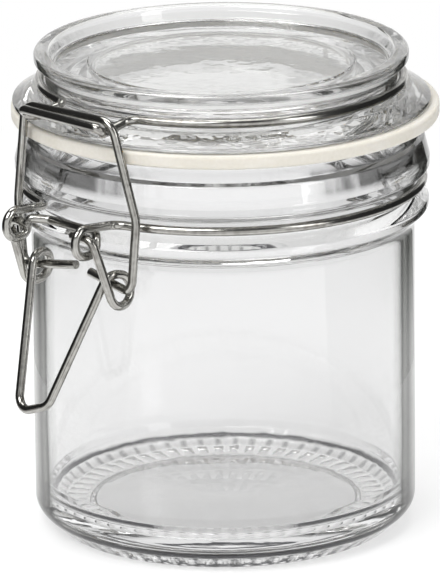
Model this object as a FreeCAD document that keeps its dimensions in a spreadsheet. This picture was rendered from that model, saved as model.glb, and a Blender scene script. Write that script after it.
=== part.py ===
"""Clip-top storage jar: a glass jar and glass lid with a rubber ring, held by a wire bail closure.

The jar's axis is Z, its foot stands on Z = 0, the closure faces -Y and the lid's hinge is at +Y.
Every size is a cell of the sheet; what seats on another piece takes its place from the same cells.
"""

import FreeCAD, Part
import math
import os
import re
import Sketcher

V = FreeCAD.Vector

SIZES = {
    # jar glass: the body's radius and height carry the neck, whose rings stand proud of the body
    "bodyradius": 43.2,
    "shoulderheight": 71.0,
    "bodywall": 2.9,
    "heelinset": 4.8,
    "heelheight": 4.4,
    "heelround": 4.0,
    "footwidth": 7.6,
    "pushupheight": 1.8,
    "floorthickness": 6.2,
    "floorround": 6.0,
    "beadproud": 3.2,
    "beadrise": 3.6,
    "beadwidth": 1.6,
    "grooveproud": 0.6,
    "grooverise": 8.8,
    "groovewidth": 3.4,
    "bandproud": 3.4,
    "bandrise": 13.0,
    "bandwidth": 2.0,
    "collarproud": 2.2,
    "collarrise": 18.8,
    "rimproud": 1.0,
    "rimrise": 23.2,
    "mouthinset": 4.0,
    "glassround": 0.9,
    # grip marks cut across the foot ring
    "knurlcount": 60.0,
    "knurlwidth": 1.5,
    "knurldepth": 0.45,
    "knurlmargin": 1.3,
    # rubber ring between rim and lid
    "seatgap": 0.25,
    "ringthickness": 3.2,
    "ringproud": 3.8,
    "ringlap": 1.0,
    "ringshift": 0.55,
    "ringround": 0.7,
    # lid glass
    "flangeproud": 2.7,
    "flangeedge": 0.9,
    "flangeslope": 3.8,
    "lidneckinset": 7.4,
    "knobproud": 2.5,
    "kneerise": 7.4,
    "knobrise": 11.8,
    "knobwall": 3.4,
    "dishdepth": 2.7,
    "dishstep": 0.4,
    "dishinset": 9.8,
    "lidthickness": 5.0,
    "plugclearance": 1.4,
    "plugdepth": 6.1,
    "plugtaper": 3.2,
    "plugwall": 3.0,
    # wires
    "wirediameter": 2.0,
    "wiregap": 0.3,
    "wirebend": 2.4,
    "kinklength": 2.5,
    "buttgap": 0.1,
    # eyelets of the neck wire
    "eyeletside": 11.0,
    "eyeletinner": 3.1,
    "eyeletlength": 6.4,
    "eyeletabove": 0.3,
    "eyeletbelow": 5.4,
    "eyeletbend": 3.0,
    "eyeletfoot": 2.4,
    "eyeletturn": 1.2,
    "bridgeside": 7.4,
    "bridgedrop": 2.0,
    "bridgeproud": 3.2,
    # pivots in the eyelets
    "pivotproud": 6.6,
    "pivotdrop": 1.4,
    "stubtip": 7.0,
    # lever
    "linkdrop": 13.0,
    "coilproud": 3.4,
    "coilradius": 3.4,
    "coilbend": 3.15,
    "pinrise": 0.9,
    "handleproud": 17.4,
    "handledrop": 27.4,
    "handleside": 5.4,
    "handlebend": 3.4,
    # bail
    "bailside": 17.0,
    "kneespread": 2.2,
    "kneeproud": 0.3,
    "kneelift": 15.2,
    "kneebend": 9.0,
    "barside": 12.9,
    "barproud": 1.3,
    "pintip": 2.6,
    # lid wire
    "tongueside": 10.6,
    "tongueproud": 3.1,
    "tonguedrop": 1.6,
    "hingearmproud": 4.8,
    "hingearmdrop": 0.7,
}


def make_sheet(document):
    """Put every driving size into the spreadsheet, one aliased cell each."""
    cells = document.addObject("Spreadsheet::Sheet", "Sizes")
    for row, (alias, value) in enumerate(SIZES.items(), start=1):
        cells.set(f"A{row}", alias)
        cells.set(f"B{row}", str(value))
        cells.setAlias(f"B{row}", alias)
    document.recompute()
    return cells


doc = FreeCAD.newDocument("clip_top_jar")
sheet = make_sheet(doc)


def value(formula):
    """Number that a formula of sheet aliases gives."""
    return float(sheet.evalExpression(formula))


def bound(formula):
    """The same formula, for an object outside the sheet."""
    return re.sub(r"[a-z]+", lambda word: "Sizes." + word.group(), formula)


# Radii and heights that several pieces share, as formulas of the sheet
BEAD_R = "bodyradius + beadproud"
GROOVE_R = "bodyradius + grooveproud"
BAND_R = "bodyradius + bandproud"
COLLAR_R = "bodyradius + collarproud"
RIM_R = "bodyradius + rimproud"
MOUTH_R = "bodyradius - mouthinset"
INNER_R = "bodyradius - bodywall"
FOOT_R = "bodyradius - heelinset"
FLANGE_R = RIM_R + " + flangeproud"
LID_NECK_R = FLANGE_R + " - lidneckinset"
PLUG_R = MOUTH_R + " - plugclearance"
BEAD_Z = "shoulderheight + beadrise"
GROOVE_Z = "shoulderheight + grooverise"
BAND_Z = "shoulderheight + bandrise"
COLLAR_Z = "shoulderheight + collarrise"
RIM_Z = "shoulderheight + rimrise"
RING_Z = RIM_Z + " + seatgap"
FLANGE_Z = RING_Z + " + ringthickness + seatgap"
LID_TOP_Z = FLANGE_Z + " + knobrise"

JAR_PROFILE = [
    ("0", "pushupheight"),
    (FOOT_R + " - footwidth - 1", "pushupheight - 0.4"),
    (FOOT_R + " - footwidth", "0"),
    (FOOT_R, "0"),
    ("bodyradius", "heelheight"),
    ("bodyradius", "shoulderheight"),
    (BEAD_R, BEAD_Z + " - beadwidth / 2"),
    (BEAD_R, BEAD_Z + " + beadwidth / 2"),
    (GROOVE_R, GROOVE_Z + " - groovewidth / 2"),
    (GROOVE_R, GROOVE_Z + " + groovewidth / 2"),
    (BAND_R, BAND_Z + " - bandwidth / 2"),
    (BAND_R, BAND_Z + " + bandwidth / 2"),
    (COLLAR_R, COLLAR_Z),
    (RIM_R, COLLAR_Z + " + 0.8"),
    (RIM_R, RIM_Z),
    (MOUTH_R, RIM_Z),
    (MOUTH_R + " - 0.2", BAND_Z),
    (INNER_R, BEAD_Z),
    (INNER_R, "floorthickness"),
    ("0", "floorthickness - 0.8"),
]

LID_PROFILE = [
    ("0", LID_TOP_Z + " - dishdepth"),
    (LID_NECK_R + " - dishinset", LID_TOP_Z + " - dishdepth"),
    (LID_NECK_R + " - dishinset + 0.3", LID_TOP_Z + " - dishdepth - dishstep"),
    (LID_NECK_R + " + knobproud - knobwall - 1.1", LID_TOP_Z + " - dishdepth - dishstep"),
    (LID_NECK_R + " + knobproud - knobwall", LID_TOP_Z),
    (LID_NECK_R + " + knobproud", LID_TOP_Z),
    (LID_NECK_R + " + knobproud", LID_TOP_Z + " - 2.2"),
    (LID_NECK_R, FLANGE_Z + " + kneerise"),
    (LID_NECK_R, FLANGE_Z + " + flangeslope"),
    (LID_NECK_R + " + 3.0", FLANGE_Z + " + flangeslope - 0.5"),
    (FLANGE_R, FLANGE_Z + " + flangeedge"),
    (FLANGE_R, FLANGE_Z),
    (PLUG_R, FLANGE_Z),
    (PLUG_R + " - plugtaper", FLANGE_Z + " - plugdepth"),
    (PLUG_R + " - plugtaper - plugwall", FLANGE_Z + " - plugdepth"),
    (PLUG_R + " - plugtaper - plugwall - 2.0", LID_TOP_Z + " - dishdepth - lidthickness"),
    ("0", LID_TOP_Z + " - dishdepth - lidthickness"),
]


def profile_sketch(body, name, corners):
    """Closed half-section in the XZ plane; each corner's radius and height are bound to the sheet."""
    sketch = body.newObject("Sketcher::SketchObject", name)
    plane = next(f for f in body.Origin.OriginFeatures if f.Role == "XZ_Plane")
    sketch.AttachmentSupport = [(plane, "")]
    sketch.MapMode = "FlatFace"
    doc.recompute()
    points = [V(value(radius), value(height), 0) for radius, height in corners]
    count = len(points)
    for i, start in enumerate(points):
        sketch.addGeometry(Part.LineSegment(start, points[(i + 1) % count]), False)
    for i in range(count):
        sketch.addConstraint(Sketcher.Constraint("Coincident", i, 2, (i + 1) % count, 1))
    for i, (radius, height) in enumerate(corners):
        for kind, formula in (("DistanceX", radius), ("DistanceY", height)):
            index = sketch.addConstraint(Sketcher.Constraint(kind, -1, 1, i, 1, value(formula)))
            if formula != "0":
                sketch.setExpression(f"Constraints[{index}]", bound(formula))
    return sketch


def revolved_body(name, corners):
    """PartDesign body that turns a half-section about the jar's axis."""
    body = doc.addObject("PartDesign::Body", name)
    body.Label = name
    sketch = profile_sketch(body, name + "_section", corners)
    doc.recompute()
    turned = body.newObject("PartDesign::Revolution", name + "_turned")
    turned.Profile = sketch
    turned.ReferenceAxis = (sketch, ["V_Axis"])
    turned.Angle = 360
    doc.recompute()
    return body


def round_corners(body, name, corners, radius):
    """Round the circular edges at the given corners of a body's section."""
    base = body.Tip
    wanted = [(value(r), value(z)) for r, z in corners]
    edges = []
    for i, edge in enumerate(base.Shape.Edges, start=1):
        if not isinstance(edge.Curve, Part.Circle):
            continue
        here = (edge.Curve.Radius, edge.Curve.Center.z)
        if any(math.dist(here, there) < 1e-4 for there in wanted):
            edges.append(f"Edge{i}")
    fillet = body.newObject("PartDesign::Fillet", name)
    fillet.Base = (base, edges)
    fillet.setExpression("Radius", bound(radius))
    doc.recompute()
    body.Tip = fillet


def cut_knurls(body):
    """Radial grip grooves across the foot ring, patterned about the axis."""
    inner = FOOT_R + " - footwidth + knurlmargin"
    outer = FOOT_R + " - knurlmargin"
    half = "knurlwidth / 2"
    corners = [(inner, "-" + half), (outer, "-" + half), (outer, half), (inner, half)]
    sketch = body.newObject("Sketcher::SketchObject", "knurl_outline")
    plane = next(f for f in body.Origin.OriginFeatures if f.Role == "XY_Plane")
    sketch.AttachmentSupport = [(plane, "")]
    sketch.MapMode = "FlatFace"
    doc.recompute()
    points = [V(value(x), value(y), 0) for x, y in corners]
    for i, start in enumerate(points):
        sketch.addGeometry(Part.LineSegment(start, points[(i + 1) % 4]), False)
    for i in range(4):
        sketch.addConstraint(Sketcher.Constraint("Coincident", i, 2, (i + 1) % 4, 1))
    for i, (x, y) in enumerate(corners):
        for kind, formula in (("DistanceX", x), ("DistanceY", y)):
            index = sketch.addConstraint(Sketcher.Constraint(kind, -1, 1, i, 1, value(formula)))
            sketch.setExpression(f"Constraints[{index}]", bound(formula))
    groove = body.newObject("PartDesign::Pocket", "knurl")
    groove.Profile = sketch
    groove.Reversed = True
    groove.setExpression("Length", bound("knurldepth"))
    doc.recompute()
    pattern = body.newObject("PartDesign::PolarPattern", "knurls")
    pattern.Originals = [groove]
    axis = next(f for f in body.Origin.OriginFeatures if f.Role == "Z_Axis")
    pattern.Axis = (axis, [""])
    pattern.Angle = 360
    pattern.setExpression("Occurrences", bound("knurlcount"))
    body.Tip = pattern
    doc.recompute()


def bent_run(stations):
    """Edges of straight runs joined by tangent arcs through (point, bend radius) stations.

    A bend radius of None marks a kink, whose arc reaches one kink length each way from its corner.
    """
    edges = []
    here = stations[0][0]
    for (before, _), (corner, radius), (after, _) in zip(stations, stations[1:], stations[2:]):
        back = (before - corner).normalize()
        ahead = (after - corner).normalize()
        half_turn = (math.pi - back.getAngle(ahead)) / 2
        reach = value("kinklength") if radius is None else radius * math.tan(half_turn)
        bend_radius = reach / math.tan(half_turn)
        start = corner + back * reach
        end = corner + ahead * reach
        inward = (back + ahead).normalize()
        middle = corner + inward * (bend_radius / math.cos(half_turn) - bend_radius)
        if (start - here).Length > 1e-3:
            edges.append(Part.LineSegment(here, start).toShape())
        edges.append(Part.Arc(start, middle, end).toShape())
        here = end
    if (stations[-1][0] - here).Length > 1e-3:
        edges.append(Part.LineSegment(here, stations[-1][0]).toShape())
    return edges


def groove_kink(ring_radius, side, height):
    """Stations of a front kink at +X: its corner, level with the side, and its start in the groove."""
    run = value("kinklength")
    angle = math.asin(side / math.hypot(ring_radius, run)) + math.atan2(run, ring_radius)
    start = V(ring_radius * math.sin(angle), -ring_radius * math.cos(angle), height)
    corner = start + V(-math.cos(angle), -math.sin(angle), 0) * run
    return [(corner, None), (start, 0)]


def mirrored(stations, axes):
    """Stations mirrored across the jar's axis along X, Y or both."""
    along_x = -1 if "x" in axes else 1
    along_y = -1 if "y" in axes else 1
    return [(V(point.x * along_x, point.y * along_y, point.z), radius) for point, radius in stations]


def side_arc(start, end, radius):
    """Arc in a round groove from the back to the front, or back again, round one side of the jar."""
    middle = V(math.copysign(radius, start.x), 0, start.z)
    return [Part.Arc(start, middle, end).toShape()]


def swept_wire(name, edges):
    """Round wire swept along its centre line."""
    path = doc.addObject("Part::Feature", name + "_path")
    path.Shape = Part.Wire(edges)
    start = edges[0].firstVertex(True).Point
    tangent = edges[0].tangentAt(edges[0].FirstParameter)
    section = doc.addObject("Part::Circle", name + "_section")
    section.setExpression("Radius", bound("wirediameter / 2"))
    section.Placement = FreeCAD.Placement(start, FreeCAD.Rotation(V(0, 0, 1), tangent))
    swept = doc.addObject("Part::Sweep", name)
    swept.Label = name
    swept.Sections = [section]
    swept.Spine = (path, [f"Edge{i + 1}" for i in range(len(edges))])
    swept.Solid = True
    doc.recompute()
    return swept


# Places that the closure's pieces share
wire = value("wirediameter")
pitch = wire + value("wiregap")
bend = value("wirebend")
neck_z = value(GROOVE_Z)
neck_r = value(GROOVE_R) + pitch - wire / 2
band_r = value(BAND_R)
pivot_reach = band_r + value("pivotproud")
pivot_z = neck_z - value("pivotdrop")
eyelet_side = value("eyeletside")
link_side = eyelet_side + pitch
coil_side = link_side - pitch
coil_reach = value("bodyradius + coilproud")
coil_z = pivot_z - value("linkdrop")
pin_z = coil_z + value("pinrise")
lid_wire_r = value(LID_NECK_R) + pitch - wire / 2
lid_wire_z = value(FLANGE_Z + " + flangeslope") + pitch - wire / 2
tongue_reach = value(FLANGE_R + " + tongueproud")


def neck_eyelet():
    """Stations from the middle of the front, round the eyelet at +X, to the groove."""
    inner = band_r + value("eyeletinner")
    outer = inner + value("eyeletlength")
    top = pivot_z + pitch + value("eyeletabove")
    bottom = neck_z - value("eyeletbelow")
    foot = value("eyeletfoot")
    turn = value("eyeletturn")
    bridge_reach = value("bodyradius + bridgeproud")
    bridge_z = neck_z - value("bridgedrop")
    return [
        (V(0, -bridge_reach, bridge_z), 0),
        (V(value("bridgeside"), -bridge_reach, bridge_z), bend),
        (V(eyelet_side, -inner, bottom + foot + 1.2 * turn), turn),
        (V(eyelet_side, -inner, bottom), foot),
        (V(eyelet_side, -outer, bottom), value("eyeletbend")),
        (V(eyelet_side, -outer, top), value("eyeletbend")),
    ] + groove_kink(neck_r, eyelet_side, neck_z)


def make_neck_wire():
    """Wire in the neck groove, with two eyelets in front and two behind, its ends butted behind."""
    front_right = neck_eyelet()
    front_left = mirrored(front_right, "x")
    back_right = mirrored(front_right, "y")
    back_left = mirrored(front_right, "xy")
    butt = V(value("buttgap") / 2, 0, 0)
    back_right[0] = (back_right[0][0] + butt, 0)
    back_left[0] = (back_left[0][0] - butt, 0)
    edges = bent_run(back_right)
    edges += side_arc(back_right[-1][0], front_right[-1][0], neck_r)
    edges += bent_run(front_right[:0:-1] + front_left[1:])
    edges += side_arc(front_left[-1][0], back_left[-1][0], neck_r)
    edges += bent_run(back_left[::-1])
    return swept_wire("neck_wire", edges)


def make_lid_wire():
    """Wire in the lid's groove, with the tongue in front and two hinge arms hooked in behind."""
    arm_reach = value(FLANGE_R + " + hingearmproud")
    hinge_arm = [
        (V(value("stubtip"), pivot_reach, pivot_z), 0),
        (V(link_side, pivot_reach, pivot_z), bend),
        (V(link_side, arm_reach, lid_wire_z - value("hingearmdrop")), bend),
    ] + mirrored(groove_kink(lid_wire_r, link_side, lid_wire_z), "y")
    tongue_side = value("tongueside")
    tongue_z = lid_wire_z - value("tonguedrop")
    tongue = groove_kink(lid_wire_r, tongue_side, lid_wire_z)[::-1]
    tongue.append((V(tongue_side, -tongue_reach, tongue_z), bend))
    other_half = mirrored(tongue, "x")
    edges = bent_run(hinge_arm)
    edges += side_arc(hinge_arm[-1][0], tongue[0][0], lid_wire_r)
    edges += bent_run(tongue + other_half[::-1])
    edges += side_arc(other_half[0][0], mirrored(hinge_arm, "x")[-1][0], lid_wire_r)
    edges += bent_run(mirrored(hinge_arm, "x")[::-1])
    return swept_wire("lid_wire", edges)


def coil_stations(start, end):
    """Corners of the lever's coil at +X, wound clockwise from the link's line to the handle's.

    start and end are the (reach, height) points that the wire comes from and goes to.
    """
    radius = value("coilradius")
    from_start = (start[0] - coil_reach, start[1] - coil_z)
    to_end = (end[0] - coil_reach, end[1] - coil_z)
    enter = math.atan2(from_start[1], from_start[0]) - math.acos(radius / math.hypot(*from_start))
    leave = math.atan2(to_end[1], to_end[0]) + math.acos(radius / math.hypot(*to_end))
    corners = 4
    step = (enter - leave + 2 * math.pi) / corners
    stations = []
    for i in range(corners):
        angle = enter - (i + 0.5) * step
        out = radius / math.cos(step / 2)
        side = link_side + (coil_side - link_side) * i / (corners - 1)
        reach = coil_reach + out * math.cos(angle)
        stations.append((V(side, -reach, coil_z + out * math.sin(angle)), value("coilbend")))
    return stations


def make_lever():
    """Lever of one wire: stubs in the neck's eyelets, links, coils round the bail's pins, handle."""
    handle_reach = value("bodyradius + handleproud")
    handle_z = coil_z - value("handledrop")
    half = [
        (V(value("stubtip"), -pivot_reach, pivot_z), 0),
        (V(link_side, -pivot_reach, pivot_z), bend),
    ]
    half += coil_stations((pivot_reach, pivot_z), (handle_reach, handle_z))
    half.append((V(value("handleside"), -handle_reach, handle_z), value("handlebend")))
    return swept_wire("lever_wire", bent_run(half + mirrored(half, "x")[::-1]))


def make_bail():
    """Bail of one wire: pins through the lever's coils, bowed legs, and the bar on the lid's tongue."""
    bar_reach = value(FLANGE_R + " + barproud")
    kink_reach = -groove_kink(lid_wire_r, value("tongueside"), lid_wire_z)[0][0].y
    slope = value("tonguedrop") / (tongue_reach - kink_reach)
    tongue_top = lid_wire_z - slope * (bar_reach - kink_reach)
    bar_z = tongue_top + pitch * math.hypot(1, slope)
    bail_side = value("bailside")
    half = [
        (V(value("pintip"), -coil_reach, pin_z), 0),
        (V(bail_side, -coil_reach, pin_z), bend),
        (V(value("bailside + kneespread"), -value(BAND_R + " + kneeproud"), pin_z + value("kneelift")),
         value("kneebend")),
        (V(value("barside"), -bar_reach, bar_z), bend),
    ]
    return swept_wire("bail_wire", bent_run(half + mirrored(half, "x")[::-1]))


def make_jar():
    """Jar glass: body, foot with grip marks, bead, wire groove, band and rim, open at the mouth."""
    body = revolved_body("jar_glass", JAR_PROFILE)
    round_corners(body, "heel_round", [("bodyradius", "heelheight"), ("bodyradius", "shoulderheight")],
                  "heelround")
    round_corners(body, "floor_round", [(INNER_R, "floorthickness")], "floorround")
    neck = [JAR_PROFILE[i] for i in (6, 7, 10, 11, 12, 14, 15)]
    round_corners(body, "neck_round", neck, "glassround")
    cut_knurls(body)
    return body


def make_lid():
    """Lid glass: dished knob ring, wire groove, sloping flange and tapered plug."""
    body = revolved_body("lid_glass", LID_PROFILE)
    round_corners(body, "knob_round", [LID_PROFILE[i] for i in (4, 5, 6, 7)], "glassround")
    round_corners(body, "plug_round", [LID_PROFILE[i] for i in (13, 14)], "glassround * 0.8")
    return body


def make_gasket():
    """Flat rubber ring between the rim and the lid's flange, seated slightly off the axis."""
    outer = RIM_R + " + ringproud"
    inner = MOUTH_R + " + ringlap"
    top = RING_Z + " + ringthickness"
    body = revolved_body("gasket", [(inner, RING_Z), (outer, RING_Z), (outer, top), (inner, top)])
    round_corners(body, "gasket_round", [(outer, RING_Z), (outer, top)], "ringround")
    body.setExpression("Placement.Base.x", bound("ringshift"))
    body.setExpression("Placement.Base.y", bound("ringshift"))
    doc.recompute()
    return body


def check_and_export(pieces):
    """Stop on a failed object or an empty or invalid shape, then write one STEP file per piece."""
    doc.recompute()
    for item in doc.Objects:
        if "Invalid" in item.State or "Error" in item.State:
            raise RuntimeError(f"{item.Name} failed: {item.State}")
    for piece in pieces:
        if piece.Shape.isNull() or not piece.Shape.isValid() or not piece.Shape.Solids:
            raise RuntimeError(f"{piece.Label} has no valid solid")
    os.makedirs("parts", exist_ok=True)
    for piece in pieces:
        piece.Shape.exportStep(f"parts/{piece.Label}.step")
        box = piece.Shape.BoundBox
        print(f"{piece.Label}: volume {piece.Shape.Volume:.0f} mm3, "
              f"x {box.XMin:.2f}..{box.XMax:.2f}, y {box.YMin:.2f}..{box.YMax:.2f}, "
              f"z {box.ZMin:.2f}..{box.ZMax:.2f}")


check_and_export([
    make_jar(),
    make_neck_wire(),
    make_lid(),
    make_gasket(),
    make_lid_wire(),
    make_lever(),
    make_bail(),
])
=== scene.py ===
"""Empty clip-top glass jar: pressed glass body and lid, cream rubber ring and bright wire closure.

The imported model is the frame. Glass, ring and wires are rebuilt at the frame's own sizes, in
metres, with +Z up, the closure facing -Y and the lid's hinge at +Y.
"""

import logging
import math
from dataclasses import dataclass, field
from enum import Enum
from typing import Any, Optional, Sequence, Union

import bmesh
import bpy
from mathutils import Matrix, Vector


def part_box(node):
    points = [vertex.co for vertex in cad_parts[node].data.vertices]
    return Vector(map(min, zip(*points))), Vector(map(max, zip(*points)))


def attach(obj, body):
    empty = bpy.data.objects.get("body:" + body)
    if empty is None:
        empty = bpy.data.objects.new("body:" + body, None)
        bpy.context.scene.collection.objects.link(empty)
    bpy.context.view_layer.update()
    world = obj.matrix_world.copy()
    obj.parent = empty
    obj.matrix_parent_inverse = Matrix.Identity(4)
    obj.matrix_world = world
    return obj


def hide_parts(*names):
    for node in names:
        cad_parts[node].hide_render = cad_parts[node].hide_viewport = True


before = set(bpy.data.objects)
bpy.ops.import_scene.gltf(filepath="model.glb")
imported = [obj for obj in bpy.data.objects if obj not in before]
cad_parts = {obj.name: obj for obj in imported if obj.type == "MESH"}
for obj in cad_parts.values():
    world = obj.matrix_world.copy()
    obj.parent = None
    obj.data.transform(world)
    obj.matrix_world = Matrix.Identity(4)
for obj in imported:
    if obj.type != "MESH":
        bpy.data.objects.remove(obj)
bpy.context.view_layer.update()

LOG = logging.getLogger("clip_top_jar")
MM = 0.001
VIEW_TURN = 45.5
COIL_CORNERS = 4

Colour = tuple[float, float, float]
Corner = tuple[float, float, float]
Outline = list[tuple[float, float]]
Span = tuple[float, float]
Value = Union[float, int, str, Sequence[float], bpy.types.NodeSocket]


class Slot(Enum):
    """Names of material slots."""

    GLASS = "clear_glass"
    RUBBER = "cream_rubber"
    STEEL = "steel_wire"


class Body(Enum):
    """Bodies of the frame."""

    JAR = "jar"
    LID = "lid"
    LEVER = "lever"
    BAIL = "bail"


class Bend(Enum):
    """Named bends of the wires, beside plain radii."""

    KINK = "kink"


Station = tuple[Vector, Union[float, Bend]]


# ------------------------------------------------------------------ node trees


class Tree:
    """Small builder for a node tree."""

    def __init__(self, tree: bpy.types.NodeTree) -> None:
        """Start on an empty tree."""
        self.tree = tree
        tree.nodes.clear()

    def add(self, kind: str, inputs: Optional[dict[Any, Value]] = None, **settings: Any) -> bpy.types.Node:
        """Add a node.

        Args:
            kind: the node's type name.
            inputs: a value or a socket for each input, by name or number.
            settings: the node's own properties.

        Returns:
            The node.
        """
        node = self.tree.nodes.new(kind)
        for name, setting in settings.items():
            setattr(node, name, setting)
        for key, value in (inputs or {}).items():
            self.feed(node.inputs[key], value)
        return node

    def feed(self, socket: bpy.types.NodeSocket, value: Value) -> None:
        """Link a socket into an input, or set the input's own value."""
        if isinstance(value, bpy.types.NodeSocket):
            self.tree.links.new(value, socket)
        else:
            socket.default_value = value

    def math(self, operation: str, *values: Value, clamp: bool = False) -> bpy.types.NodeSocket:
        """Result of a Math node on one to three values."""
        kind = "ShaderNodeMath"
        node = self.add(kind, dict(enumerate(values)), operation=operation, use_clamp=clamp)
        return node.outputs[0]

    def mix(self, factor: Value, first: Value, second: Value) -> bpy.types.NodeSocket:
        """Colour between two colours."""
        node = self.add("ShaderNodeMix", data_type="RGBA")
        for place, value in ((0, factor), (6, first), (7, second)):
            self.feed(node.inputs[place], value)
        return node.outputs[2]

    def remap(self, value: Value, low: float, high: float, to_low: float, to_high: float,
              smooth: bool = False) -> bpy.types.NodeSocket:
        """Value moved from one range to another, clamped."""
        node = self.add("ShaderNodeMapRange", {0: value, 1: low, 2: high, 3: to_low, 4: to_high})
        if smooth:
            node.interpolation_type = "SMOOTHSTEP"
        return node.outputs[0]


def new_group(name: str, kind: str, inputs: Sequence[tuple[str, str, Any]],
              outputs: Sequence[tuple[str, str]]) -> bpy.types.NodeTree:
    """Node group with named sockets.

    Args:
        name: the group's name.
        kind: its tree type.
        inputs: name, socket type and default of each input.
        outputs: name and socket type of each output.

    Returns:
        The group, without nodes.
    """
    group = bpy.data.node_groups.new(name, kind)
    for title, socket, default in inputs:
        made = group.interface.new_socket(name=title, in_out="INPUT", socket_type=socket)
        if default is not None:
            made.default_value = default
    for title, socket in outputs:
        group.interface.new_socket(name=title, in_out="OUTPUT", socket_type=socket)
    return group


def mottle_group() -> bpy.types.NodeTree:
    """Uneven value from two sizes of noise, shared by the finishes."""
    name = "mottle"
    if name in bpy.data.node_groups:
        return bpy.data.node_groups[name]
    group = new_group(
        name, "ShaderNodeTree",
        [("Vector", "NodeSocketVector", None), ("Broad", "NodeSocketFloat", 60.0),
         ("Fine", "NodeSocketFloat", 900.0), ("Fine Share", "NodeSocketFloat", 0.3)],
        [("Value", "NodeSocketFloat")])
    tree = Tree(group)
    ins = tree.add("NodeGroupInput")
    out = tree.add("NodeGroupOutput")
    broad = tree.add("ShaderNodeTexNoise", {"Vector": ins.outputs["Vector"], "Scale": ins.outputs["Broad"],
                                            "Detail": 3.0})
    fine = tree.add("ShaderNodeTexNoise", {"Vector": ins.outputs["Vector"], "Scale": ins.outputs["Fine"],
                                           "Detail": 2.0})
    share = ins.outputs["Fine Share"]
    rest = tree.math("SUBTRACT", 1.0, share)
    total = tree.math("MULTIPLY_ADD", fine.outputs[0], share, tree.math("MULTIPLY", broad.outputs[0], rest))
    tree.feed(out.inputs["Value"], total)
    return group


# ------------------------------------------------------------------ finishes


def new_material(name: str) -> tuple[bpy.types.Material, Tree, bpy.types.Node]:
    """Empty material with a Principled shader wired to its output.

    Args:
        name: the material's name.

    Returns:
        The material, its tree and its Principled node.
    """
    material = bpy.data.materials.new(name)
    material.use_nodes = True
    tree = Tree(material.node_tree)
    shader = tree.add("ShaderNodeBsdfPrincipled")
    out = tree.add("ShaderNodeOutputMaterial")
    tree.feed(out.inputs["Surface"], shader.outputs[0])
    return material, tree, shader


def mottled(tree: Tree, vector: bpy.types.NodeSocket, broad: float, fine: float,
            share: float) -> bpy.types.NodeSocket:
    """Uneven value on a vector, from the shared group."""
    node = tree.add("ShaderNodeGroup", node_tree=mottle_group())
    for name, value in (("Vector", vector), ("Broad", broad), ("Fine", fine), ("Fine Share", share)):
        tree.feed(node.inputs[name], value)
    return node.outputs["Value"]


def bumped(tree: Tree, shader: bpy.types.Node, height: bpy.types.NodeSocket, distance: float,
           strength: float) -> None:
    """Feed a height through a Bump node into a shader's normal."""
    bump = tree.add("ShaderNodeBump", {"Strength": strength, "Distance": distance, "Height": height})
    tree.feed(shader.inputs["Normal"], bump.outputs[0])


def in_metres(span: Span) -> Span:
    """Span given in millimetres, in metres."""
    return span[0] * MM, span[1] * MM


@dataclass(frozen=True)
class GlassPoint:
    """Sockets that tell where a point of the glass is and how its surface lies."""

    place: bpy.types.NodeSocket
    across: bpy.types.NodeSocket
    x: bpy.types.NodeSocket
    y: bpy.types.NodeSocket
    height: bpy.types.NodeSocket
    rise: bpy.types.NodeSocket
    outer: bpy.types.NodeSocket
    facing: bpy.types.NodeSocket
    sway: bpy.types.NodeSocket


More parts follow.
